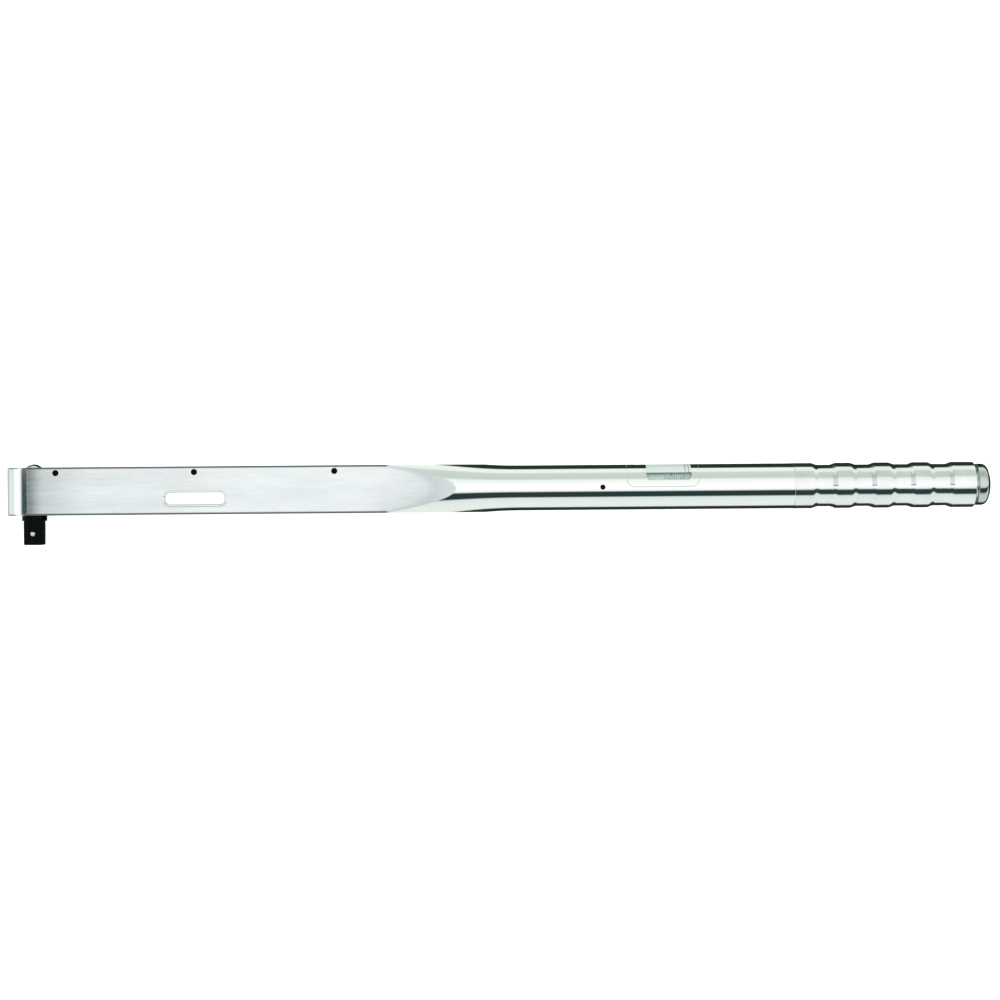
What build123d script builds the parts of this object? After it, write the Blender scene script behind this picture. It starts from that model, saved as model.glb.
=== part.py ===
"""Torque wrench: ratchet head with a square drive, tilting-block release and a scale window.

The wrench lies on its side. +X runs from the drive axis to the handle, -Y is the way the square
drive points, and +Z is up. The origin is on the drive axis, at the wrench's centreline. Millimetres.
"""

import os
from math import cos, radians, sin, sqrt

from build123d import *

os.makedirs("parts", exist_ok=True)

# ---------------------------------------------------------------- driving dimensions

# housing: a rectangular head block that is turned down to a round tube
head_width = 55.0  # along Z
head_height = 50.0  # along Y
edge_chamfer = 1.2
flat_end = 444.0  # where the upper flat runs out on the flare
runout_length = 21.4  # its last stretch, which rises a little to meet the flare
runout_rise = 0.75
runout_reach = 88.0  # length and half width of the rounded end of its level part
runout_width = 27.0
flare_slope = 0.1225
flare_blend = 3.4  # how far outside the tube the flare starts to curve into it
tube_radius = 23.65
tube_bore = 17.0
sleeve_start = 797.0
sleeve_end = 987.4
spigot_radius = 19.5
side_wall = 5.0
floor_wall = 8.0
channel_end = 350.0
bush_recess = 0.4

# cover strip and its set screws
cover_thickness = 12.0
cover_chamfer = 0.4
screw_positions = (28.3, 172.1, 317.7)
set_screw_radius = 3.25
set_screw_socket = 1.5
set_screw_depth = 1.4
dog_radius = 2.0
dog_length = 4.0

# nameplate
plate_centre = (172.9, -8.4)
plate_length = 61.4
plate_height = 12.4
plate_thickness = 1.0
recess_depth = 1.5
plate_corner = 5.0
plate_chamfer = 0.2

# square drive
square = 19.05
square_length = 25.4
square_corner = 1.2
tip_chamfer = 1.0
tip_wall = 1.5
collar_radius = 12.95
collar_height = 5.6
ball_radius = 3.2
ball_from_tip = 11.8
ball_proud = 1.1
stem_radius = 4.0
ramp_depth = 1.2  # how far the button's stem lets the ball sink
ramp_length = 4.0
ramp_flat = 8.0
button_radius = 7.9
button_rise = 3.9
button_spring_radius = 5.9
button_spring_wire = 1.2
button_spring_turns = 6
button_gap = 0.5  # between the button's flange and the lever cap, and its straight rim above the head
spring_well_floor = -2.0  # level along the drive axis

# lever and ratchet
wheel_radius = 18.0
tooth_count = 36
tooth_depth = 1.6
ring_wall = 3.5
lever_plate = 4.0
trunnion_radius = 16.95
upper_trunnion_radius = 14.0
bush_wall = 2.0
neck_length = 54.0
neck_width = 30.0
arm_width = 16.0
arm_height = 20.0
tail_length = 20.0
tail_width = 23.0
tail_height = 16.0
lever_reach = 418.0
pawl_width = 14.0
pawl_back = 30.0
pawl_relief = 1.3
pawl_hole_radius = 3.3
pawl_hole_depth = 5.0
pawl_spring_radius = 2.4
pawl_spring_wire = 0.9
pawl_spring_turns = 8
pawl_slot_end = 41.0
cap_screw_x = 47.5
cap_screw_z = 9.5
cap_screw_length = 9.0
trunnion_recess = 0.6
lever_gap = 0.5  # above and below the lever in its channel
pawl_lead = 0.5  # degrees that the pawl's teeth stand before the wheel's

# release block, plunger and main spring
block_size = 12.0
plunger_length = 25.0
spring_radius = 13.0
spring_wire = 5.0
spring_length = 133.0
spring_turns = 13
block_edge = 0.4
block_gap = 0.2
plunger_gap = 0.4
plunger_lip = 1.0
plunger_cup = 10.8
plunger_stub = 14.0
stub_gap = 1.0  # between a stub and the main spring's coils
end_chamfer = 1.0

# setting nut, scale and spindle
nut_length = 52.0
nut_stub = 10.0
setting_travel = 30.0
slot_room = 1.0  # more than the travel that the guide slot is long
carrier_length = 82.0
carrier_flat = 13.4
carrier_bore = 8.0
spindle_radius = 6.0
spindle_start = 570.0
spindle_end = 975.0
flange_x = 735.0
flange_length = 6.0
flange_radius = 11.0
key_size = 8.0
key_depth = 14.0
spindle_head_radius = 8.0
spindle_head_length = 18.0
guide_screw_x = 596.6
guide_screw_radius = 2.7
guide_screw_socket = 1.25
guide_dog_radius = 2.3
guide_dog_length = 4.0

# thrust bearing
race_radius = 10.5
thrust_ball_radius = 2.0
thrust_ball_count = 12
washer_thickness = 2.0
washer_radius = 14.0
cage_half_width = 3.0
cage_thickness = 1.6
bearing_length = 26.0
ring_thickness = 1.6
ring_groove = 0.9  # how deep the retaining ring sits in the tube
ring_width = 3.3
ring_opening = 7.0
ring_lug_radius = 2.6
ring_lug_hole = 0.9
rear_bush_length = 15.0
rear_bush_back = 35.0  # from the bush's front to the spindle's end

# scale window
bezel_start = 621.9
bezel_end = 697.2
bezel_corner = 8.0
bezel_thickness = 3.15
opening_start = 642.4
opening_end = 689.3
opening_low = 6.9
opening_corner = 4.0
lens_flat = 14.1
crown_corner = 1.0
sill = 0.8
bezel_screw_x = 633.6

# grip sleeve and end cap
grip_radius = 23.8
groove_radius = 21.8
groove_first = 829.2
groove_pitch = 40.5
groove_floor = 14.3
groove_ramp = 5.3
groove_blend = 7.0
groove_count = 4
grip_chamfer = 1.8
joint_chamfer = 0.3
spigot_back = 0.5  # how far the spigot stops short of the sleeve's end
cap_radius = 21.75
cap_length = 16.4
cap_edge = 9.5  # length of the cap's rounded edge
cap_gap = 1.6
cap_crown = 0.72  # share of the radius that the rounded edge's middle keeps
cap_chamfer = 0.8
plug_length = 11.0
o_ring_radius = 0.95
o_ring_groove = 2.4
o_ring_depth = 1.7

# small countersunk screws
small_screw_radius = 1.5
small_head_radius = 2.8
countersink_radius = 3.0
head_sunk = 0.2
driver_slot_length = 4.4
driver_slot_width = 0.7
driver_slot_depth = 0.8

# clearances
press_gap = 0.02  # between pieces that are pressed or screwed together
seat_gap = 0.1  # between pieces that lie in one another
running_gap = 0.06  # round shafts that turn or slide in their bores
loose_gap = 0.3  # between moving pieces that don't bear on each other
overcut = 1.0  # how far a cut or a joined boss reaches past the face it starts from

# ---------------------------------------------------------------- derived levels along the drive axis

half_height = head_height / 2
half_width = head_width / 2
channel_half = half_width - side_wall
channel_floor = -half_height + floor_wall
cover_under = half_height - cover_thickness
screw_y = half_height - cover_thickness / 2
ring_radius = wheel_radius + loose_gap + ring_wall
lever_floor = channel_floor + lever_gap
pocket_floor = lever_floor + lever_plate
cap_top = cover_under - lever_gap
cap_under = cap_top - lever_plate
wheel_low = pocket_floor + seat_gap
wheel_high = cap_under - seat_gap
collar_low = -half_height - collar_height
square_low = collar_low - square_length
ball_y = square_low + ball_from_tip
ball_z = square / 2 + ball_proud - ball_radius
drive_bore = stem_radius + running_gap
journal_bore = collar_radius + running_gap
spring_well_radius = button_spring_radius + button_spring_wire + seat_gap
button_under = cap_top + button_gap
button_shoulder = half_height + button_gap

# derived places along the wrench
block_start = lever_reach + block_gap
block_end = block_start + block_size
plunger_seat = block_end + plunger_gap
plunger_end = plunger_seat + plunger_length
nut_start = plunger_end + spring_length
stub_radius = spring_radius - spring_wire / 2 - stub_gap
nut_end = nut_start + nut_length
washer_x = flange_x + flange_length + press_gap
ball_x = washer_x + washer_thickness + press_gap + thrust_ball_radius
rear_washer_x = ball_x + thrust_ball_radius + press_gap
bearing_x = rear_washer_x + washer_thickness + press_gap
retaining_x = bearing_x + bearing_length + press_gap
rear_bush_x = spindle_end - rear_bush_back
tube_end = sleeve_end - spigot_back
bezel_radius = tube_radius - bezel_thickness


def plan(y):
    """A plane square to the drive axis at height y. Its normal is +Y and its own y runs along -Z."""
    return Plane(origin=(0, y, 0), x_dir=(1, 0, 0), z_dir=(0, 1, 0))


def section(x):
    """A plane square to the wrench's length. Its normal is +X, and its own x and y are Y and Z."""
    return Plane(origin=(x, 0, 0), x_dir=(0, 1, 0), z_dir=(1, 0, 0))


def save(piece, name):
    """Label a finished piece and write its STEP file."""
    piece.label = name
    export_step(piece, f"parts/{name}.step")


def channel_outline(gap):
    """The plan of the channel: a strip with a half-round end about the drive axis, made smaller by gap."""
    Circle(channel_half - gap)
    Rectangle(channel_end - gap, 2 * (channel_half - gap), align=(Align.MIN, Align.CENTER))


def window_outline(start, end, low, corner):
    """The side view of a window piece that straddles the tube, with two rounded lower corners."""
    with BuildSketch(Plane.XY) as outline:
        with Locations(((start + end) / 2, low)):
            Rectangle(end - start, 2 * tube_radius, align=(Align.CENTER, Align.MIN))
        fillet(outline.vertices().group_by(Axis.Y)[0], corner)
    return outline.sketch


def saddle(outline, outer, inner):
    """A piece of tube wall of the given side view, between two radii."""
    with BuildPart() as piece:
        add(outline)
        extrude(amount=head_width, both=True)
        with BuildSketch(section(bezel_start - overcut)):
            Circle(outer)
            if inner:
                Circle(inner, mode=Mode.SUBTRACT)
        extrude(amount=bezel_end - bezel_start + 2 * overcut, mode=Mode.INTERSECT)
    return piece.part


def tooth_outline(tip, root, lead):
    """The saw-toothed outline of the ratchet wheel. Each tooth rises slowly and drops along a radius."""
    pitch = radians(360 / tooth_count)
    points = []
    for tooth in range(tooth_count):
        drop = tooth * pitch + radians(lead)
        points.append((tip * cos(drop), tip * sin(drop)))
        points.append((root * cos(drop), root * sin(drop)))
    Polyline(*points, close=True)


def coil(radius, wire, length, turns):
    """A compression spring that stands on the ground plane, with its wire inside the stated length."""
    with BuildPart() as spring:
        with BuildLine():
            path = Helix(pitch=(length - wire) / turns, height=length - wire, radius=radius)
        with BuildSketch(Plane(origin=path @ 0, z_dir=path % 0)):
            Circle(wire / 2)
        sweep(path=path, is_frenet=True)
    return Pos(0, 0, wire / 2) * spring.part


# ---------------------------------------------------------------- housing and what is fixed to it

block_corner = sqrt(half_width**2 + half_height**2)
flare_tip = half_width + runout_rise  # radius of the cone where the upper flat ends
flare_corner = flat_end - (block_corner - flare_tip) / flare_slope
flare_start = flare_corner - 2 * head_width
cone_top = flare_tip + flare_slope * (flat_end - flare_start)
curve_start = flat_end + (flare_tip - tube_radius - flare_blend) / flare_slope
curve_end = curve_start + 2 * flare_blend / flare_slope
bezel_outline = window_outline(bezel_start, bezel_end, 0, bezel_corner)
glass_outline = window_outline(opening_start, opening_end, opening_low, opening_corner)
sight_outline = window_outline(opening_start + sill, opening_end - sill, opening_low + sill, opening_corner)

with BuildPart() as round_cutter:
    # a flat-bottomed disc whose rim curves up, to be stretched along the wrench
    stretch = runout_reach / runout_width
    rim = runout_length / stretch
    rim_radius = (rim**2 + runout_rise**2) / (2 * runout_rise)
    with BuildSketch(Plane.XZ):
        with BuildLine():
            rim_width = rim_radius / 2
            rim_rise = rim_radius - sqrt(rim_radius**2 - rim_width**2)
            floor = Line((0, half_width), (runout_width, half_width))
            curl = TangentArc(floor @ 1, (runout_width + rim_width, half_width + rim_rise), tangent=(1, 0))
            Polyline(curl @ 1, (runout_width + rim_width, head_width), (0, head_width), floor @ 0)
        make_face()
    revolve(axis=Axis.Z)
runout_cutter = Pos(flat_end - runout_length - runout_reach, 0, 0) * scale(
    round_cutter.part, by=(stretch, 1, 1)
)

with BuildPart() as housing:
    with BuildSketch(plan(-half_height)):
        Circle(half_width)
        Rectangle(tube_end, head_width, align=(Align.MIN, Align.CENTER))
    extrude(amount=head_height)
    rims = housing.faces().filter_by(Axis.Y).edges()
    chamfer(rims, edge_chamfer)
    # a little more height where the upper flat rises at its end
    with BuildSketch(section(flare_corner)):
        Rectangle(head_height, half_width + 2 * runout_rise, align=(Align.CENTER, Align.MIN))
    extrude(amount=tube_end - flare_corner)
    # the block is turned down: a cone, a hollow curve and then the round tube with its spigot
    with BuildSketch(Plane.XY):
        with BuildLine():
            flare = Line((flare_start, cone_top), (curve_start, tube_radius + flare_blend))
            curve = TangentArc(flare @ 1, (curve_end, tube_radius), tangent=flare % 1)
            Polyline(
                curve @ 1,
                (sleeve_start, tube_radius),
                (sleeve_start, spigot_radius),
                (tube_end, spigot_radius),
                (tube_end, 0),
                (-head_width, 0),
                (-head_width, cone_top),
                flare @ 0,
            )
        make_face()
    revolve(axis=Axis.X, mode=Mode.INTERSECT)
    add(runout_cutter, mode=Mode.SUBTRACT)
    with BuildSketch(plan(channel_floor)):
        channel_outline(0)
    extrude(amount=head_height, mode=Mode.SUBTRACT)
    with BuildSketch(section(channel_end - overcut)):
        Circle(tube_bore)
    extrude(amount=tube_end, mode=Mode.SUBTRACT)
    with BuildSketch(section(retaining_x - press_gap)):
        Circle(tube_bore + ring_groove)
    extrude(amount=ring_thickness + 2 * press_gap, mode=Mode.SUBTRACT)
    with BuildSketch(plan(-half_height - overcut)):
        Circle(trunnion_radius + running_gap + bush_wall + press_gap)
    extrude(amount=floor_wall + 2 * overcut, mode=Mode.SUBTRACT)
    with BuildSketch(Plane.XY):
        with Locations(*[(x, screw_y) for x in screw_positions]):
            Circle(set_screw_radius)
    extrude(amount=head_width, both=True, mode=Mode.SUBTRACT)
    with BuildSketch(Plane.XY.offset(half_width)):
        with Locations(plate_centre):
            RectangleRounded(plate_length + 2 * recess_depth, plate_height + 2 * recess_depth,
                             plate_corner + recess_depth)
    extrude(amount=-recess_depth, taper=45, mode=Mode.SUBTRACT)
    add(saddle(bezel_outline, half_height, bezel_radius), mode=Mode.SUBTRACT)
    add(sight_outline)
    extrude(amount=head_width, both=True, mode=Mode.SUBTRACT)
    with BuildSketch(Plane.XY):
        with Locations((guide_screw_x, 0)):
            Circle(guide_screw_radius + press_gap)
    extrude(amount=head_width, mode=Mode.SUBTRACT)
    with BuildSketch(plan(0)):
        with Locations((bezel_screw_x, 0)):
            Circle(small_screw_radius + press_gap)
    extrude(amount=head_height, mode=Mode.SUBTRACT)
save(housing.part, "housing")

with BuildPart() as cover_strip:
    with BuildSketch(plan(cover_under)):
        channel_outline(seat_gap)
    extrude(amount=cover_thickness)
    chamfer(cover_strip.faces().sort_by(Axis.Y)[-1].edges(), cover_chamfer)
    with BuildSketch(plan(cover_under - overcut)):
        Circle(upper_trunnion_radius + running_gap + bush_wall + press_gap)
    extrude(amount=cover_thickness + 2 * overcut, mode=Mode.SUBTRACT)
    for side in (1, -1):
        with BuildSketch(Plane.XY.offset(side * channel_half)):
            with Locations(*[(x, screw_y) for x in screw_positions]):
                Circle(dog_radius + seat_gap)
        extrude(amount=-side * (dog_length + loose_gap), mode=Mode.SUBTRACT)
save(cover_strip.part, "cover_strip")

with BuildPart() as cover_set_screws:
    for side in (1, -1):
        outward = Plane(origin=(0, screw_y, 0), x_dir=(1, 0, 0), z_dir=(0, 0, side))
        with BuildSketch(outward.offset(channel_half)):
            with Locations(*[(x, 0) for x in screw_positions]):
                Circle(set_screw_radius - press_gap)
                RegularPolygon(set_screw_socket, 6, major_radius=False, mode=Mode.SUBTRACT)
        extrude(amount=side_wall - set_screw_depth)
        with BuildSketch(outward.offset(channel_half - dog_length)):
            with Locations(*[(x, 0) for x in screw_positions]):
                Circle(dog_radius)
        extrude(amount=dog_length + overcut)
save(cover_set_screws.part, "cover_set_screws")

with BuildPart() as lower_bush:
    with BuildSketch(plan(-half_height + bush_recess)):
        Circle(trunnion_radius + running_gap + bush_wall)
        Circle(trunnion_radius + running_gap, mode=Mode.SUBTRACT)
    extrude(amount=floor_wall - bush_recess)
save(lower_bush.part, "lower_bush")

with BuildPart() as upper_bush:
    with BuildSketch(plan(cover_under)):
        Circle(upper_trunnion_radius + running_gap + bush_wall)
        Circle(upper_trunnion_radius + running_gap, mode=Mode.SUBTRACT)
    extrude(amount=cover_thickness - bush_recess)
save(upper_bush.part, "upper_bush")

with BuildPart() as nameplate:
    with BuildSketch(Plane.XY.offset(half_width - recess_depth)):
        with Locations(plate_centre):
            RectangleRounded(plate_length - 2 * seat_gap, plate_height - 2 * seat_gap, plate_corner)
    extrude(amount=plate_thickness)
    chamfer(nameplate.faces().sort_by(Axis.Z)[-1].edges(), plate_chamfer)
save(nameplate.part, "nameplate")

with BuildPart() as window_bezel:
    bezel_shape = window_outline(bezel_start + seat_gap, bezel_end - seat_gap, seat_gap, bezel_corner)
    add(saddle(bezel_shape, tube_radius, bezel_radius + press_gap))
    add(glass_outline)
    extrude(amount=head_width, both=True, mode=Mode.SUBTRACT)
    with Locations(plan(tube_radius - head_sunk) * Pos(bezel_screw_x, 0, 0)):
        CounterSinkHole(radius=small_screw_radius + seat_gap, counter_sink_radius=countersink_radius)
save(window_bezel.part, "window_bezel")

with BuildPart() as bezel_screw:
    with BuildSketch(Plane.XY):
        with BuildLine():
            screw_top = tube_radius - head_sunk - seat_gap
            screw_side = bezel_screw_x + small_screw_radius
            head_side = bezel_screw_x + small_head_radius
            Polyline(
                (bezel_screw_x, tube_bore + loose_gap),
                (screw_side, tube_bore + loose_gap),
                (screw_side, screw_top - small_head_radius + small_screw_radius - seat_gap),
                (head_side, screw_top - seat_gap),
                (head_side, screw_top),
                (bezel_screw_x, screw_top),
                close=True,
            )
        make_face()
    revolve(axis=Axis((bezel_screw_x, 0, 0), (0, 1, 0)))
    with BuildSketch(plan(screw_top)):
        with Locations((bezel_screw_x, 0)):
            Rectangle(driver_slot_length, driver_slot_width)
    extrude(amount=-driver_slot_depth, mode=Mode.SUBTRACT)
save(bezel_screw.part, "bezel_screw")

with BuildPart() as lens:
    # a curved cover with a thick crown whose underside is flat
    glass_start = opening_start + seat_gap
    glass_end = opening_end - seat_gap
    add(saddle(window_outline(glass_start, glass_end, opening_low + seat_gap, opening_corner),
               tube_radius, bezel_radius + press_gap))
    crown = window_outline(glass_start + sill, glass_end - sill, lens_flat, crown_corner)
    add(saddle(crown, tube_radius, 0))
save(lens.part, "lens")

with BuildPart() as guide_screw:
    with BuildSketch(Plane.XY.offset(tube_bore + loose_gap)):
        with Locations((guide_screw_x, 0)):
            Circle(guide_screw_radius)
            RegularPolygon(guide_screw_socket, 6, major_radius=False, mode=Mode.SUBTRACT)
    extrude(amount=tube_radius - tube_bore - 4 * loose_gap)
    with BuildSketch(Plane.XY.offset(tube_bore - guide_dog_length)):
        with Locations((guide_screw_x, 0)):
            Circle(guide_dog_radius)
    extrude(amount=guide_dog_length + overcut)
save(guide_screw.part, "guide_screw")

with BuildPart() as grip_sleeve:
    with BuildSketch(Plane.XY):
        with BuildLine():
            outline = [(sleeve_start, grip_radius)]
            for groove in range(groove_count):
                middle = groove_first + groove * groove_pitch
                half = groove_floor / 2
                outline += [
                    (middle - half - groove_ramp, grip_radius),
                    (middle - half, groove_radius),
                    (middle + half, groove_radius),
                    (middle + half + groove_ramp, grip_radius),
                ]
            outline.append((sleeve_end, grip_radius))
            wave = FilletPolyline(*outline, radius=groove_blend)
            Polyline(
                wave @ 1,
                (sleeve_end, spigot_radius + seat_gap),
                (sleeve_start, spigot_radius + seat_gap),
                wave @ 0,
            )
        make_face()
    revolve(axis=Axis.X)
    front = grip_sleeve.faces().filter_by(Axis.X).sort_by(Axis.X)[0]
    back = grip_sleeve.faces().filter_by(Axis.X).sort_by(Axis.X)[-1]
    chamfer(front.edges().sort_by(SortBy.LENGTH)[-1], joint_chamfer)
    chamfer(back.edges().sort_by(SortBy.LENGTH)[-1], grip_chamfer)
save(grip_sleeve.part, "grip_sleeve")

# ---------------------------------------------------------------- ratchet head

with BuildPart() as lever:
    with BuildSketch(plan(lever_floor)):
        Circle(ring_radius)
        Rectangle(neck_length, neck_width, align=(Align.MIN, Align.CENTER))
    extrude(amount=cap_under - lever_floor)
    with BuildSketch(section(neck_length)):
        Rectangle(arm_height, arm_width)
    extrude(amount=lever_reach - neck_length)
    with BuildSketch(section(lever_reach - tail_length)):
        Rectangle(tail_height, tail_width)
    extrude(amount=tail_length)
    # two cheeks hold the tilting block between them
    with BuildSketch(section(lever_reach)):
        cheek = tail_height / 2 - block_size / 2 - loose_gap
        with Locations((tail_height / 2, 0)):
            Rectangle(cheek, block_size, align=(Align.MAX, Align.CENTER))
        with Locations((-tail_height / 2, 0)):
            Rectangle(cheek, block_size, align=(Align.MIN, Align.CENTER))
    extrude(amount=block_size / 2)
    with BuildSketch(plan(lever_floor)):
        Circle(trunnion_radius)
    extrude(amount=-floor_wall)
    with BuildSketch(plan(-half_height)):
        Circle(journal_bore)
    extrude(amount=head_height, mode=Mode.SUBTRACT)
    with BuildSketch(plan(pocket_floor)):
        Circle(wheel_radius + loose_gap)
        Rectangle(pawl_slot_end, pawl_width + 2 * running_gap, align=(Align.MIN, Align.CENTER))
    extrude(amount=head_height, mode=Mode.SUBTRACT)
    with BuildSketch(plan(cap_under)):
        with Locations((cap_screw_x, cap_screw_z), (cap_screw_x, -cap_screw_z)):
            Circle(small_screw_radius + press_gap)
    extrude(amount=-cap_screw_length - overcut, mode=Mode.SUBTRACT)
save(lever.part, "lever")

with BuildPart() as lever_cap:
    with BuildSketch(plan(cap_under)):
        Circle(ring_radius)
        Rectangle(neck_length, neck_width, align=(Align.MIN, Align.CENTER))
    extrude(amount=lever_plate)
    with BuildSketch(plan(cap_top)):
        Circle(upper_trunnion_radius)
    extrude(amount=half_height - cap_top - trunnion_recess)
    with BuildSketch(plan(cap_under)):
        Circle(button_radius + loose_gap)
    extrude(amount=head_height, mode=Mode.SUBTRACT)
    for side in (1, -1):
        with Locations(plan(cap_top) * Pos(cap_screw_x, side * cap_screw_z, 0)):
            CounterSinkHole(radius=small_screw_radius + seat_gap, counter_sink_radius=countersink_radius)
save(lever_cap.part, "lever_cap")

with BuildPart() as cap_screws:
    for z in (cap_screw_z, -cap_screw_z):
        with BuildSketch(Plane.XY.offset(z)):
            with BuildLine():
                head_level = cap_top - head_sunk
                head_under = head_level - small_head_radius + small_screw_radius - seat_gap
                Polyline(
                    (cap_screw_x, cap_under - cap_screw_length),
                    (cap_screw_x + small_screw_radius, cap_under - cap_screw_length),
                    (cap_screw_x + small_screw_radius, head_under),
                    (cap_screw_x + small_head_radius, head_level),
                    (cap_screw_x, head_level),
                    close=True,
                )
            make_face()
        revolve(axis=Axis((cap_screw_x, 0, z), (0, 1, 0)))
save(cap_screws.part, "cap_screws")

with BuildPart() as ratchet_wheel:
    with BuildSketch(plan(wheel_low)):
        with BuildLine():
            tooth_outline(wheel_radius, wheel_radius - tooth_depth, 0)
        make_face()
    extrude(amount=wheel_high - wheel_low)
    with BuildSketch(plan(wheel_low)):
        Rectangle(square + seat_gap, square + seat_gap)
        Circle(journal_bore, mode=Mode.INTERSECT)
    extrude(amount=wheel_high - wheel_low, mode=Mode.SUBTRACT)
save(ratchet_wheel.part, "ratchet_wheel")

with BuildSketch() as pawl_relief_outline:
    # past the drive axis the teeth would cut into the wheel as the pawl draws back
    Circle(wheel_radius + loose_gap)
    with Locations((0, pawl_relief)):
        Rectangle(pawl_back * 2, pawl_width, align=(Align.CENTER, Align.MIN), mode=Mode.INTERSECT)

with BuildPart() as pawl:
    with BuildSketch(plan(wheel_low)):
        Rectangle(pawl_back, pawl_width, align=(Align.MIN, Align.CENTER))
        with BuildLine():
            tooth_outline(wheel_radius + loose_gap, wheel_radius - tooth_depth + loose_gap, pawl_lead)
        make_face(mode=Mode.SUBTRACT)
        add(pawl_relief_outline.sketch, mode=Mode.SUBTRACT)
    extrude(amount=wheel_high - wheel_low)
    with BuildSketch(section(pawl_back)):
        with Locations(((wheel_low + wheel_high) / 2, 0)):
            Circle(pawl_hole_radius)
    extrude(amount=-pawl_hole_depth, mode=Mode.SUBTRACT)
save(pawl.part, "pawl")

pawl_spring_start = pawl_back - pawl_hole_depth + seat_gap
pawl_spring = Plane(origin=(pawl_spring_start, (wheel_low + wheel_high) / 2, 0), z_dir=(1, 0, 0)) * coil(
    pawl_spring_radius, pawl_spring_wire, pawl_slot_end - seat_gap - pawl_spring_start, pawl_spring_turns
)
save(pawl_spring, "pawl_spring")

# ---------------------------------------------------------------- square drive and its release button

with BuildPart() as drive_square:
    with BuildSketch(plan(square_low)):
        RectangleRounded(square, square, square_corner)
    extrude(amount=square_length)
    chamfer(drive_square.faces().sort_by(Axis.Y)[0].edges(), tip_chamfer)
    with BuildSketch(plan(collar_low)):
        Circle(collar_radius)
    extrude(amount=pocket_floor - seat_gap - collar_low)
    with BuildSketch(plan(pocket_floor - seat_gap)):
        Rectangle(square, square)
        Circle(collar_radius, mode=Mode.INTERSECT)
    extrude(amount=wheel_high - pocket_floor)
    with BuildSketch(plan(square_low + tip_wall)):
        Circle(drive_bore)
    extrude(amount=head_height * 2, mode=Mode.SUBTRACT)
    with BuildSketch(plan(spring_well_floor)):
        Circle(spring_well_radius)
    extrude(amount=head_height, mode=Mode.SUBTRACT)
    with BuildSketch(Plane.XY):
        with Locations((0, ball_y)):
            Circle(ball_radius + running_gap)
    extrude(amount=square, mode=Mode.SUBTRACT)
save(drive_square.part, "drive_square")

with BuildPart() as release_button:
    with BuildSketch(Plane.XY):
        with BuildLine():
            ramp_end = ball_y + ramp_length
            Polyline(
                (0, half_height + button_rise),
                (0, ball_y - ramp_length),
                (stem_radius, ball_y - ramp_length),
                (stem_radius, ball_y),
                (stem_radius - ramp_depth, ramp_end),
                (stem_radius - ramp_depth, ramp_end + ramp_flat),
                (stem_radius, ramp_end + ramp_flat + ramp_depth),
                (stem_radius, button_under),
                (button_radius, button_under),
                (button_radius, button_shoulder),
            )
            dome_rise = half_height + button_rise - button_shoulder
            dome_radius = (button_radius**2 + dome_rise**2) / (2 * dome_rise)
            RadiusArc((button_radius, button_shoulder), (0, half_height + button_rise), -dome_radius)
        make_face()
    revolve(axis=Axis.Y)
save(release_button.part, "release_button")

button_spring_length = button_under - spring_well_floor - 2 * seat_gap
button_spring = plan(spring_well_floor + seat_gap) * coil(
    button_spring_radius, button_spring_wire, button_spring_length, button_spring_turns
)
save(button_spring, "button_spring")

with BuildPart() as detent_ball:
    with Locations((0, ball_y, ball_z)):
        Sphere(ball_radius)
save(detent_ball.part, "detent_ball")

# ---------------------------------------------------------------- release block, plunger, main spring

with BuildPart() as tilt_block:
    with BuildSketch(section(block_start)):
        Rectangle(block_size, block_size)
    extrude(amount=block_size)
    fillet(tilt_block.edges().filter_by(Axis.Y), block_edge)
save(tilt_block.part, "tilt_block")

with BuildPart() as plunger:
    with BuildSketch(section(plunger_seat - plunger_lip)):
        Circle(tube_bore - running_gap)
        Circle(plunger_cup, mode=Mode.SUBTRACT)
    extrude(amount=plunger_lip)
    with BuildSketch(section(plunger_seat)):
        Circle(tube_bore - running_gap)
    extrude(amount=plunger_length)
    with BuildSketch(section(plunger_end)):
        Circle(stub_radius)
    extrude(amount=plunger_stub)
    chamfer(plunger.edges().sort_by(Axis.X)[-1], end_chamfer)
save(plunger.part, "plunger")

main_spring = section(plunger_end + seat_gap) * coil(
    spring_radius, spring_wire, spring_length - 2 * seat_gap, spring_turns
)
save(main_spring, "main_spring")

# ---------------------------------------------------------------- setting nut, scale and spindle

with BuildPart() as setting_nut:
    with BuildSketch(section(nut_start)):
        Circle(tube_bore - running_gap)
    extrude(amount=nut_length)
    with BuildSketch(section(nut_start)):
        Circle(stub_radius)
    extrude(amount=-nut_stub)
    with BuildSketch(section(nut_end)):
        Circle(spindle_radius + running_gap)
    extrude(amount=-nut_length - nut_stub, mode=Mode.SUBTRACT)
    with BuildSketch(Plane.XY.offset(tube_bore - guide_dog_length - loose_gap)):
        with Locations((guide_screw_x + setting_travel / 2, 0)):
            SlotCenterToCenter(setting_travel + slot_room, 2 * (guide_dog_radius + seat_gap))
    extrude(amount=tube_bore, mode=Mode.SUBTRACT)
save(setting_nut.part, "setting_nut")

with BuildPart() as scale_carrier:
    with BuildSketch(section(nut_end)):
        Circle(tube_bore - running_gap)
        with Locations((carrier_flat, 0)):
            Rectangle(tube_bore, 2 * tube_bore, align=(Align.MIN, Align.CENTER), mode=Mode.SUBTRACT)
        Circle(carrier_bore, mode=Mode.SUBTRACT)
    extrude(amount=carrier_length)
save(scale_carrier.part, "scale_carrier")

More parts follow.
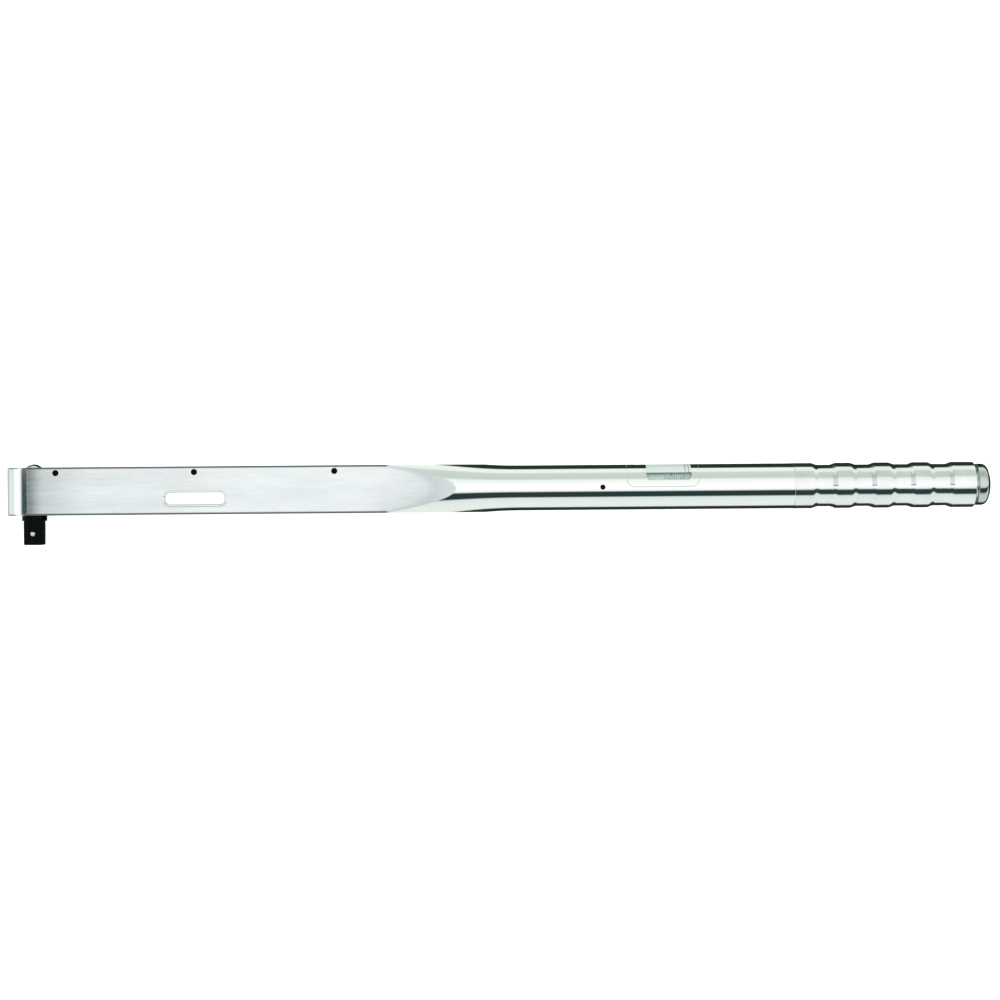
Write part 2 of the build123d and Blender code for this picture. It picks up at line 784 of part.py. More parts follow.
with BuildPart() as spindle:
    with BuildSketch(section(spindle_start)):
        Circle(spindle_radius)
    extrude(amount=spindle_end - spindle_start)
    with BuildSketch(section(flange_x)):
        Circle(flange_radius)
    extrude(amount=flange_length)
    with BuildSketch(section(spindle_end)):
        Circle(spindle_head_radius)
    extrude(amount=-spindle_head_length)
    with BuildSketch(section(spindle_end)):
        RegularPolygon(key_size / 2, 6, major_radius=False)
    extrude(amount=-key_depth, mode=Mode.SUBTRACT)
    chamfer(spindle.edges().filter_by(GeomType.CIRCLE).sort_by(Axis.X)[0], end_chamfer)
save(spindle.part, "spindle")

for washer_name, washer_start in (("front_thrust_washer", washer_x), ("rear_thrust_washer", rear_washer_x)):
    with BuildPart() as thrust_washer:
        with BuildSketch(section(washer_start)):
            Circle(washer_radius)
            Circle(spindle_radius + running_gap, mode=Mode.SUBTRACT)
        extrude(amount=washer_thickness)
    save(thrust_washer.part, washer_name)

with BuildPart() as thrust_balls:
    with Locations(section(ball_x)):
        with PolarLocations(race_radius, thrust_ball_count):
            Sphere(thrust_ball_radius)
save(thrust_balls.part, "thrust_balls")

with BuildPart() as ball_cage:
    with BuildSketch(section(ball_x - cage_thickness / 2)):
        Circle(race_radius + cage_half_width)
        Circle(race_radius - cage_half_width, mode=Mode.SUBTRACT)
        with PolarLocations(race_radius, thrust_ball_count):
            Circle(thrust_ball_radius + press_gap, mode=Mode.SUBTRACT)
    extrude(amount=cage_thickness)
save(ball_cage.part, "ball_cage")

with BuildPart() as bearing_block:
    with BuildSketch(section(bearing_x)):
        Circle(tube_bore - press_gap)
        Circle(spindle_radius + running_gap, mode=Mode.SUBTRACT)
    extrude(amount=bearing_length)
save(bearing_block.part, "bearing_block")

with BuildPart() as retaining_ring:
    with BuildSketch(section(retaining_x)):
        ring_outer = tube_bore + ring_groove - seat_gap
        Circle(ring_outer)
        Circle(ring_outer - ring_width, mode=Mode.SUBTRACT)
        Rectangle(tube_bore * 2, ring_opening, align=(Align.MIN, Align.CENTER), mode=Mode.SUBTRACT)
        lug_y = ring_outer - ring_width - ring_lug_radius / 2
        lug_z = ring_opening / 2 + ring_lug_radius
        with Locations((lug_y, lug_z), (lug_y, -lug_z)):
            Circle(ring_lug_radius)
            Circle(ring_lug_hole, mode=Mode.SUBTRACT)
    extrude(amount=ring_thickness)
save(retaining_ring.part, "retaining_ring")

with BuildPart() as rear_bush:
    with BuildSketch(section(rear_bush_x)):
        Circle(tube_bore - press_gap)
        Circle(spindle_radius + running_gap, mode=Mode.SUBTRACT)
    extrude(amount=rear_bush_length)
save(rear_bush.part, "rear_bush")

# ---------------------------------------------------------------- end cap

with BuildPart() as end_cap:
    with BuildSketch(Plane.XY):
        with BuildLine():
            plug = tube_bore - loose_gap
            groove_x = sleeve_end - plug_length / 2
            groove_front = groove_x - o_ring_groove / 2
            groove_back = groove_x + o_ring_groove / 2
            cap_start = sleeve_end + cap_gap
            cap_end = sleeve_end + cap_length
            Polyline(
                (cap_end, 0),
                (sleeve_end - plug_length, 0),
                (sleeve_end - plug_length, plug),
                (groove_front, plug),
                (groove_front, plug - o_ring_depth),
                (groove_back, plug - o_ring_depth),
                (groove_back, plug),
                (cap_start, plug),
                (cap_start, cap_radius - cap_chamfer),
                (cap_start + cap_chamfer, cap_radius),
                (cap_end - cap_edge, cap_radius),
            )
            Spline(
                (cap_end - cap_edge, cap_radius),
                (cap_end - cap_edge / 4, cap_crown * cap_radius),
                (cap_end, 0),
                tangents=((1, 0), (0, -1)),
            )
        make_face()
    revolve(axis=Axis.X)
save(end_cap.part, "end_cap")

with BuildPart() as cap_o_ring:
    with BuildSketch(Plane.XY):
        with Locations((groove_x, tube_bore - running_gap - o_ring_radius)):
            Circle(o_ring_radius)
    revolve(axis=Axis.X)
save(cap_o_ring.part, "cap_o_ring")
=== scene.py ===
"""Looks of the torque wrench: bright aluminium, black drive, chromed button, clear scale window."""
from math import cos, radians, sin

import bmesh
import bpy
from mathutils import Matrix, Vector


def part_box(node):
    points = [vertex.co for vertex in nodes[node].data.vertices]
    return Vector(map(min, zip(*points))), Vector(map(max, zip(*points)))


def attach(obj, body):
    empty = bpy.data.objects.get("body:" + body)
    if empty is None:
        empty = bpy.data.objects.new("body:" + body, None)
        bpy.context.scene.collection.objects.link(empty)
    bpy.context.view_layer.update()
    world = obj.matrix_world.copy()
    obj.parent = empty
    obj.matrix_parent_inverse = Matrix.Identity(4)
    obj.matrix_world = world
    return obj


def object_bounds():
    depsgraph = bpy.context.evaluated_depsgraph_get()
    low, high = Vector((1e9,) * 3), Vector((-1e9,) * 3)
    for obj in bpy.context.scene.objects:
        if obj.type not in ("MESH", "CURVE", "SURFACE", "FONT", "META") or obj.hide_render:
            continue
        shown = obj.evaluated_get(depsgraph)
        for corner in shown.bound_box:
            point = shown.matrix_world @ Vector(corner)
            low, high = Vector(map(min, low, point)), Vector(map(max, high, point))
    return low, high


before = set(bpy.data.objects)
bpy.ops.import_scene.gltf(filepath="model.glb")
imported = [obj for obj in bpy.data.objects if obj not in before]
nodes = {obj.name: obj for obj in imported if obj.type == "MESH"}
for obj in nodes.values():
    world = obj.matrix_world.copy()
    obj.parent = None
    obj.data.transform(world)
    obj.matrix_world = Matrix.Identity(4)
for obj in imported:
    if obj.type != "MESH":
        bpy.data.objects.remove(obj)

cad_low, cad_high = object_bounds()
MM = 0.001

# places along the block and the flare: where the brushed flat ends in half an ellipse and the smooth
# run-out goes on to the tip, and where the turned cone bends into the tube
FLARE_TIP_X = 444 * MM
RUNOUT_CENTRE_X = 334.6 * MM
RUNOUT_REACH = 88 * MM
RUNOUT_WIDTH = 27 * MM
RUNOUT_RING = (0.86, 1.02)
BLOCK_EDGE_X = 371 * MM
BRUSHED_FROM_X = -3 * MM
EDGE_LINE_Y = 23.1 * MM
EDGE_LINE_X = (-9 * MM, -4 * MM)
RUNOUT_PAINT_FROM_X = 415 * MM
FLARE_SLOPE = 0.1225
FLARE_CURVE_START_X = 453.8 * MM
FLARE_CURVE_END_X = 509.3 * MM

# how light the brushed flat is, and the painted shade taken off it near the nose and towards the run-out,
# standing in for its darker reflections there
FLAT_TONE = 0.86
NOSE_SHADE_TO_X = 70 * MM
NOSE_SHADE_TONE = 0.20
NOSE_SHADE_CLOSE_TO_X = 16 * MM
NOSE_SHADE_CLOSE_TONE = 0.40
RUNOUT_SHADE_FROM_X = 320 * MM
RUNOUT_SHADE_TO_X = 425 * MM
RUNOUT_SHADE_TONE = 0.17

# a normal's part along an axis, or its likeness to another normal, from "no" to "yes"
FACES_NEARLY = (0.99, 0.994)
FACES_SQUARELY = (0.9975, 0.9985)
LIKE_THE_ROUND = (0.93, 0.96)

ALUMINIUM = (0.9, 0.905, 0.9)
# painted shade of the run-out, from its darkest where it starts to its lightest at the flare's tip
RUNOUT_PAINTED_DARK = (0.52, 0.57, 0.575, 1)
RUNOUT_PAINTED_MIDDLE = (0.62, 0.67, 0.67, 1)
RUNOUT_PAINTED_LIGHT = (0.68, 0.72, 0.71, 1)
# painted shade of the dark lines along the block's edges
EDGE_PAINTED_SHADE = (0.11, 0.14, 0.14, 1)

# lip round the nameplate: distances from its edge, and heights over the flat
FLAT_Z = 27.5 * MM
PLATE_CORNER = 5 * MM
LIP_INNER = 1.7 * MM
LIP_CREST = 2.2 * MM
LIP_OUTER = 2.7 * MM
LIP_RISE = 0.15 * MM
LIP_SUNK = -0.05 * MM

# scale window
CROWN_LOW_Y = 14.1 * MM
CROWN_WALLS_X = (682.9 * MM, 686.6 * MM)
LENS_INNER_RADIUS = 20.4 * MM
TICK_START_X = 662 * MM
TICK_PITCH = 2 * MM
TICK_WIDTH = 0.7 * MM
TICK_LOW_Y = 7.4 * MM
TICK_SHORT = 3.0 * MM
TICK_LONG = 4.2 * MM
TICK_END_ROOM = 3 * MM
TICK_PROUD = 0.03 * MM
TICK_THICK = 0.1 * MM
POINTER_X = 668.5 * MM
POINTER_TOP_Y = 13.4 * MM
POINTER_TIP_Y = 11.0 * MM
POINTER_HALF_WIDTHS = (1.1 * MM, 0.2 * MM)
POINTER_THICK = 0.2 * MM
BEZEL_CORNER = 8 * MM
SEAM_WIDTH = 0.8 * MM
SEAM_PROUD = 0.04 * MM
SEAM_THICK = 0.2 * MM
SEAM_GAP = 0.1 * MM
SEAM_HEIGHTS = (0.985, 0.9, 0.75, 0.6)
CORNER_STEPS = 8

# ---------------------------------------------------------------- camera, floor and light

VIEW_CENTRE = Vector((489.5, -12.55, 0)) * MM
VIEW_DISTANCE = 2.103
LENS_MM = 72.0
ROLL = radians(-0.455)
FLOOR_HALF = 12.0
FILL_SIZE = 3.0
FILL_POWER = 60.0
FILL_HEIGHT = 2.5


def make_camera():
    """A camera straight above the wrench, turned a little so that the wrench rises to the right."""
    data = bpy.data.cameras.new("camera")
    data.lens = LENS_MM
    data.sensor_width = 36.0
    data.clip_end = 50
    camera = bpy.data.objects.new("camera", data)
    camera.location = VIEW_CENTRE + Vector((0, 0, VIEW_DISTANCE))
    camera.rotation_euler = (0, 0, ROLL)
    bpy.context.scene.collection.objects.link(camera)
    bpy.context.scene.camera = camera


def make_floor():
    """A wide pale floor under the lowest point of the wrench, left out of the metal's reflections."""
    corners = [(x * FLOOR_HALF, y * FLOOR_HALF, 0) for x, y in ((-1, -1), (1, -1), (1, 1), (-1, 1))]
    mesh = bpy.data.meshes.new("floor")
    mesh.from_pydata(corners, [], [(0, 1, 2, 3)])
    floor = bpy.data.objects.new("floor", mesh)
    floor.location = (0.5, 0, cad_low[2])
    bpy.context.scene.collection.objects.link(floor)
    floor.visible_glossy = False
    material = bpy.data.materials.new("floor")
    material.use_nodes = True
    surface = material.node_tree.nodes["Principled BSDF"]
    surface.inputs["Base Color"].default_value = (0.9, 0.9, 0.9, 1)
    surface.inputs["Roughness"].default_value = 1.0
    surface.inputs["Specular IOR Level"].default_value = 0.0
    surface.inputs["Emission Color"].default_value = (1, 1, 1, 1)
    surface.inputs["Emission Strength"].default_value = 0.55
    floor.data.materials.append(material)


# Light in the studio round the wrench, by angle about its length in degrees: 0 is straight up, 90 is +Y.
BLACK = (0.022, 0.034, 0.029)
STRIPE = (0.026, 0.044, 0.045)
ROUND_THE_LENGTH = (
    (-180, BLACK),
    (-124, BLACK),
    (-116, (0.86, 0.95, 0.88)),
    (-90, (0.90, 0.94, 0.90)),
    (-60, (0.81, 0.90, 0.87)),
    (-54, (0.76, 0.84, 0.83)),
    (-48, STRIPE),
    (-24, STRIPE),
    (-18, (0.93, 0.98, 1.00)),
    (-8, (1.12, 1.14, 1.15)),
    (8, (1.13, 1.14, 1.14)),
    (24, (1.03, 1.07, 1.05)),
    (38, (0.92, 1.00, 0.97)),
    (46, (0.62, 0.70, 0.65)),
    (76, (0.66, 0.74, 0.67)),
    (85, (0.92, 1.00, 0.92)),
    (106, (0.94, 1.02, 0.94)),
    (113, BLACK),
    (180, BLACK),
)

# The same beyond the head, by angle from straight up towards -X: a dark flag, then a tall softbox. It
# shows in directions that lean enough towards the head and hardly lean sideways.
BEYOND_THE_HEAD = (
    (0, (1.13, 1.14, 1.14)),
    (9, (1.10, 1.12, 1.12)),
    (15, (0.20, 0.28, 0.29)),
    (20, (0.03, 0.06, 0.065)),
    (40, (0.05, 0.08, 0.085)),
    (49, (0.85, 0.93, 0.93)),
    (55, (1.10, 1.12, 1.12)),
    (80, (1.10, 1.12, 1.12)),
    (87, (0.84, 0.90, 0.88)),
    (122, (0.82, 0.90, 0.87)),
    (130, (0.55, 0.60, 0.58)),
    (180, (0.40, 0.44, 0.42)),
)
LEANS_TO_HEAD = (0.13, 0.20)
NOT_BELOW = (-0.05, -0.03)
NOT_ABOVE = (0.015, 0.04)
ABOVE_SHARE = 0.25


def sky_node(tree, kind, *inputs, **settings):
    """Add a node to the world, with its first inputs linked or set."""
    made = tree.nodes.new("ShaderNode" + kind)
    for name, value in settings.items():
        setattr(made, name, value)
    for number, value in enumerate(inputs):
        if isinstance(value, bpy.types.NodeSocket):
            tree.links.new(value, made.inputs[number])
        else:
            made.inputs[number].default_value = value
    return made


def sky_ramp(tree, angle, stops, low, high):
    """A colour ramp over an angle in radians, with stops from low to high degrees."""
    share = sky_node(tree, "MapRange", angle, radians(low), radians(high))
    ramp = sky_node(tree, "ValToRGB", share.outputs[0])
    elements = ramp.color_ramp.elements
    while len(elements) > 1:
        elements.remove(elements[0])
    for number, (degrees, colour) in enumerate(stops):
        place = (degrees - low) / (high - low)
        stop = elements[0] if number == 0 else elements.new(place)
        stop.position = place
        stop.color = (*colour, 1)
    return ramp.outputs[0]


def make_studio():
    """Bands of light about the wrench's length, a flag and a softbox beyond the head, and a fill."""
    world = bpy.data.worlds.new("studio")
    bpy.context.scene.world = world
    world.use_nodes = True
    tree = world.node_tree
    tree.nodes.clear()
    where = sky_node(tree, "TexCoord")
    split = sky_node(tree, "SeparateXYZ", where.outputs["Generated"])
    across, up = split.outputs["Y"], split.outputs["Z"]
    to_head = sky_node(tree, "Math", split.outputs["X"], -1.0, operation="MULTIPLY").outputs[0]
    about = sky_node(tree, "Math", across, up, operation="ARCTAN2").outputs[0]
    lean = sky_node(tree, "Math", to_head, up, operation="ARCTAN2").outputs[0]
    bands = sky_ramp(tree, about, ROUND_THE_LENGTH, -180, 180)
    beyond = sky_ramp(tree, lean, BEYOND_THE_HEAD, 0, 180)
    leaning = sky_node(tree, "MapRange", to_head, *LEANS_TO_HEAD).outputs[0]
    below = sky_node(tree, "MapRange", across, *NOT_BELOW).outputs[0]
    above = sky_node(tree, "MapRange", across, *NOT_ABOVE, 1.0, ABOVE_SHARE).outputs[0]
    level = sky_node(tree, "Math", below, above, operation="MULTIPLY").outputs[0]
    share = sky_node(tree, "Math", leaning, level, operation="MULTIPLY").outputs[0]
    mix = sky_node(tree, "Mix", share, data_type="RGBA")
    tree.links.new(bands, mix.inputs["A"])
    tree.links.new(beyond, mix.inputs["B"])
    light = sky_node(tree, "Background", mix.outputs["Result"], 1.0)
    plain = sky_node(tree, "Background", (1, 1, 1, 1), 1.0)
    path = sky_node(tree, "LightPath")
    seen = sky_node(tree, "MixShader", path.outputs["Is Camera Ray"], light.outputs[0], plain.outputs[0])
    sky_node(tree, "OutputWorld", seen.outputs[0])

    lamp = bpy.data.lights.new("overhead_fill", "AREA")
    lamp.size = FILL_SIZE
    lamp.energy = FILL_POWER
    fill = bpy.data.objects.new("overhead_fill", lamp)
    fill.location = (0.5, 0, FILL_HEIGHT)
    fill.visible_glossy = False
    fill.visible_camera = False
    bpy.context.scene.collection.objects.link(fill)


# ---------------------------------------------------------------- materials

# a fine grain that runs no way in particular, and how deep a polished and a plain surface's relief is
FINE = (300, 300, 300)
POLISHED = 0.002 * MM
PLAIN = 0.01 * MM


class Shader:
    """A Principled material with a few short ways to add nodes."""

    def __init__(self, name, **sockets):
        self.material = bpy.data.materials.new(name)
        self.material.use_nodes = True
        self.tree = self.material.node_tree
        self.surface = self.tree.nodes["Principled BSDF"]
        for socket, value in sockets.items():
            self.surface.inputs[socket.replace("_", " ")].default_value = value
        self.coordinates = self.tree.nodes.new("ShaderNodeTexCoord")

    def node(self, kind, *inputs, **settings):
        made = self.tree.nodes.new("ShaderNode" + kind)
        for name, value in settings.items():
            setattr(made, name, value)
        for number, value in enumerate(inputs):
            self.feed(made.inputs[number], value)
        return made

    def feed(self, socket, value):
        if isinstance(value, bpy.types.NodeSocket):
            self.tree.links.new(value, socket)
        elif value is not None:
            socket.default_value = value

    def math(self, operation, *inputs):
        return self.node("Math", *inputs, operation=operation).outputs[0]

    def place(self, scale=(1, 1, 1)):
        """The point's place in the row frame, stretched by scale."""
        mapping = self.node("Mapping", self.coordinates.outputs["Object"])
        mapping.inputs["Scale"].default_value = scale
        return mapping.outputs[0]

    def noise(self, scale, stretch=(1, 1, 1), detail=4.0, roughness=0.6):
        made = self.node("TexNoise", self.place(stretch))
        made.inputs["Scale"].default_value = scale
        made.inputs["Detail"].default_value = detail
        made.inputs["Roughness"].default_value = roughness
        return made.outputs["Fac"]

    def span(self, value, low, high, to_low, to_high, smooth=False):
        made = self.node("MapRange", value, low, high, to_low, to_high)
        made.interpolation_type = "SMOOTHSTEP" if smooth else "LINEAR"
        return made.outputs[0]

    def mix(self, share, one, other):
        made = self.node("Mix", data_type="RGBA")
        self.feed(made.inputs["Factor"], share)
        self.feed(made.inputs["A"], one)
        self.feed(made.inputs["B"], other)
        return made.outputs["Result"]

    def bump(self, height, distance, base=None):
        made = self.node("Bump")
        self.feed(made.inputs["Normal"], base)
        made.inputs["Distance"].default_value = distance
        self.feed(made.inputs["Height"], height)
        self.feed(self.surface.inputs["Normal"], made.outputs[0])

    def set(self, socket, value):
        self.feed(self.surface.inputs[socket], value)


def dress(names, shader):
    """Give CAD nodes a material."""
    for name in names:
        node = nodes[name]
        node.data.materials.clear()
        node.data.materials.append(shader.material)


def metal(name, colour, roughness, grain, spread=0.08, relief=PLAIN):
    """A metal with a directional grain: grain gives how fine it is along each axis."""
    shader = Shader(name, Metallic=1.0, Base_Color=(*colour, 1))
    streaks = shader.noise(1.0, grain, detail=3.0)
    shader.set("Roughness", shader.span(streaks, 0.25, 0.75, roughness - spread, roughness + spread))
    dark = tuple(c * 0.82 for c in colour)
    blotch = shader.span(shader.noise(30.0), 0.35, 0.7, 0, 0.6)
    shader.set("Base Color", shader.mix(blotch, (*colour, 1), (*dark, 1)))
    shader.bump(streaks, relief)
    return shader


def length(shader, one, other):
    """The length of a vector with two parts."""
    squares = [shader.math("MULTIPLY", part, part) for part in (one, other)]
    return shader.math("SQRT", shader.math("ADD", *squares))


def inside(shader, value, low, high, soft):
    """1 where a value lies between low and high, with a soft step of the given width at each end."""
    above = shader.span(value, low - soft, low + soft, 0, 1)
    below = shader.span(value, high - soft, high + soft, 1, 0)
    return shader.math("MULTIPLY", above, below)


def round_normal(shader, place, normal):
    """The exact normal of the flare and the tube, in place of the one from the mesh's long facets."""
    x, y, z = (place.outputs[axis] for axis in "XYZ")
    radius = length(shader, y, z)
    slope = shader.span(x, FLARE_CURVE_START_X, FLARE_CURVE_END_X, FLARE_SLOPE, 0)
    outward = [shader.math("DIVIDE", part, radius) for part in (y, z)]
    exact = shader.node("CombineXYZ", slope, *outward).outputs[0]
    exact = shader.node("VectorMath", exact, operation="NORMALIZE").outputs[0]
    given = shader.coordinates.outputs["Normal"]
    likeness = shader.node("VectorMath", exact, given, operation="DOT_PRODUCT").outputs["Value"]
    # flat faces keep their own normal
    level = shader.math("MAXIMUM", shader.math("ABSOLUTE", normal.outputs["Y"]),
                        shader.math("ABSOLUTE", normal.outputs["Z"]))
    on_flat = shader.math("MULTIPLY", shader.span(level, *FACES_SQUARELY, 0, 1),
                          shader.span(x, FLARE_TIP_X, FLARE_TIP_X + MM, 1, 0))
    share = shader.math("MULTIPLY", shader.span(likeness, *LIKE_THE_ROUND, 0, 1),
                        shader.math("SUBTRACT", 1.0, on_flat))
    share = shader.math("MULTIPLY", share, shader.span(x, BLOCK_EDGE_X, BLOCK_EDGE_X + MM, 0, 1))
    mixed = shader.node("Mix", data_type="VECTOR")
    shader.feed(mixed.inputs["Factor"], share)
    shader.feed(mixed.inputs[4], given)
    shader.feed(mixed.inputs[5], exact)
    return shader.node("VectorTransform", mixed.outputs[1], vector_type="NORMAL",
                       convert_from="OBJECT", convert_to="WORLD").outputs[0]


def housing_metal():
    """Brushed flats with painted dark reflections along their edges, a smooth run-out greyed by painted
    shade, and a polished nose, flare and tube.
    """
    shader = Shader("housing_aluminium", Metallic=1.0)
    place = shader.node("SeparateXYZ", shader.coordinates.outputs["Object"])
    normal = shader.node("SeparateXYZ", shader.coordinates.outputs["Normal"])
    x, y = place.outputs["X"], place.outputs["Y"]
    across = shader.math("ABSOLUTE", normal.outputs["Y"])
    facing_z = shader.math("ABSOLUTE", normal.outputs["Z"])
    side = shader.math("ABSOLUTE", y)
    on_block = shader.span(x, FLARE_TIP_X, FLARE_TIP_X + 2 * MM, 1, 0)
    level = shader.math("MAXIMUM", shader.span(facing_z, *FACES_SQUARELY, 0, 1),
                        shader.span(across, *FACES_NEARLY, 0, 1))
    # the brushing fades out round the nose
    behind_nose = shader.span(x, BRUSHED_FROM_X, 0.0, 0, 1, smooth=True)
    near_nose = shader.span(x, 0.2 * MM, -0.2 * MM, 0, 1)
    level = shader.math("MAXIMUM", level, near_nose)
    flat = shader.math("MULTIPLY", shader.math("MULTIPLY", level, on_block), behind_nose)

    # it ends in a soft half ellipse, and the run-out beyond it is smooth, with a greyer tone that is
    # painted shade
    reach = shader.math("DIVIDE", shader.math("SUBTRACT", x, RUNOUT_CENTRE_X), RUNOUT_REACH)
    reach = shader.math("MAXIMUM", reach, 0.0)
    ring = length(shader, reach, shader.math("DIVIDE", y, RUNOUT_WIDTH))
    beyond = shader.span(ring, *RUNOUT_RING, 0, 1, smooth=True)
    runout = shader.math("MULTIPLY", beyond, flat)
    brushed = shader.math("SUBTRACT", flat, runout)

    # lines along the block's edges and chamfers, rougher and painted dark as painted shade for the
    # chamfers' dark reflection
    rim = shader.span(side, EDGE_LINE_Y - 0.4 * MM, EDGE_LINE_Y + 0.3 * MM, 0, 1)
    rim = shader.math("MULTIPLY", rim, shader.span(facing_z, *FACES_NEARLY, 0, 1))
    outer = shader.span(side, EDGE_LINE_Y - 0.6 * MM, EDGE_LINE_Y, 0, 1)
    chamfer = shader.math("MULTIPLY", inside(shader, across, 0.3, 0.95, 0.02), outer)
    edge = shader.math("MAXIMUM", shader.math("MULTIPLY", rim, 0.8), chamfer)
    edge = shader.math("MULTIPLY", edge, shader.span(x, *EDGE_LINE_X, 0, 1))
    edge = shader.math("MULTIPLY", edge, shader.span(x, BLOCK_EDGE_X, BLOCK_EDGE_X + 3 * MM, 1, 0))

    streaks = shader.noise(1.0, (22, 1100, 1100), detail=5.0, roughness=0.75)
    scratches = shader.noise(1.0, (60, 2600, 2600), detail=2.0, roughness=0.5)
    clouds = shader.noise(1.0, (9, 45, 45), detail=3.0)
    tone = shader.math("ADD", shader.span(streaks, 0.3, 0.7, -0.07, 0.07),
                       shader.span(clouds, 0.3, 0.7, -0.06, 0.06))
    tone = shader.math("ADD", tone, shader.span(scratches, 0.35, 0.65, -0.03, 0.03))
    # painted shade: darker towards the drive and towards the run-out, standing in for the flat's darker
    # reflections there
    flat_painted_shade = shader.math("ADD", shader.span(x, BRUSHED_FROM_X, NOSE_SHADE_TO_X, NOSE_SHADE_TONE, 0, smooth=True),
                       shader.span(x, BRUSHED_FROM_X, NOSE_SHADE_CLOSE_TO_X, NOSE_SHADE_CLOSE_TONE, 0, smooth=True))
    flat_painted_shade = shader.math("ADD", flat_painted_shade, shader.span(x, RUNOUT_SHADE_FROM_X, RUNOUT_SHADE_TO_X, 0, RUNOUT_SHADE_TONE, smooth=True))
    light = shader.math("SUBTRACT", shader.math("ADD", tone, FLAT_TONE), flat_painted_shade)
    blue = shader.math("ADD", light, 0.03)
    grey = shader.node("CombineColor", light, blue, blue)
    # painted shade on the run-out: darker where it starts, lighter towards the flare's tip, with random
    # patches
    runout_shade_colour = shader.mix(shader.span(x, RUNOUT_PAINT_FROM_X, FLARE_TIP_X, 0, 1), RUNOUT_PAINTED_DARK, RUNOUT_PAINTED_LIGHT)
    runout_shade_colour = shader.mix(shader.span(clouds, 0.3, 0.7, 0, 0.5), runout_shade_colour, RUNOUT_PAINTED_MIDDLE)
    surface = shader.mix(beyond, grey.outputs[0], runout_shade_colour)
    colour = shader.mix(flat, (*ALUMINIUM, 1), surface)
    shader.set("Base Color", shader.mix(edge, colour, EDGE_PAINTED_SHADE))
    rough = shader.math("MULTIPLY", brushed, shader.span(streaks, 0.3, 0.7, 0.24, 0.36))
    rough = shader.math("ADD", rough, shader.math("MULTIPLY", runout, 0.24))
    rough = shader.math("ADD", rough, shader.math("MULTIPLY", edge, 0.30))
    polish = shader.span(shader.noise(1.0, (400, 400, 400)), 0.3, 0.7, 0.04, 0.07)
    shader.set("Roughness", shader.math("MAXIMUM", rough, polish))
    relief = shader.math("MULTIPLY", streaks, brushed)
    shader.bump(relief, 0.02 * MM, base=round_normal(shader, place, normal))
    return shader


def lens_plastic():
    """Clear below, where the scale shows, and a crown made pale and nearly opaque as a painted
    reflection, with a painted dark line under it and along its walls as painted shade.
    """
    shader = Shader("clear_lens", IOR=1.49)
    place = shader.node("SeparateXYZ", shader.coordinates.outputs["Object"])
    x, y = place.outputs["X"], place.outputs["Y"]
    crown = shader.span(y, CROWN_LOW_Y + 0.4 * MM, CROWN_LOW_Y + 0.7 * MM, 0, 1)
    # painted shade: a dark line under the crown and along its walls
    line = inside(shader, y, CROWN_LOW_Y - 0.4 * MM, CROWN_LOW_Y + 0.6 * MM, 0.2 * MM)
    for wall_x in CROWN_WALLS_X:
        wall = inside(shader, x, wall_x - 0.4 * MM, wall_x + 0.4 * MM, 0.2 * MM)
        wall = shader.math("MULTIPLY", wall, crown)
        line = shader.math("MAXIMUM", line, shader.math("MULTIPLY", wall, 0.7))
    # the crown's pale tone is a painted reflection
    crown_tone_noise = shader.noise(60.0, (1, 6, 6))
    crown_painted_reflection = shader.mix(crown_tone_noise, (0.50, 0.56, 0.54, 1), (0.60, 0.66, 0.64, 1))
    colour = shader.mix(crown, (0.50, 0.62, 0.57, 1), crown_painted_reflection)
    shader.set("Base Color", shader.mix(line, colour, (0.04, 0.07, 0.06, 1)))
    solid = shader.math("MAXIMUM", shader.math("MULTIPLY", crown, 0.92),
                        shader.math("MULTIPLY", line, 0.85))
    shader.set("Alpha", shader.math("MAXIMUM", solid, 0.16))
    shader.set("Roughness", shader.span(crown, 0, 1, 0.04, 0.2))
    return shader


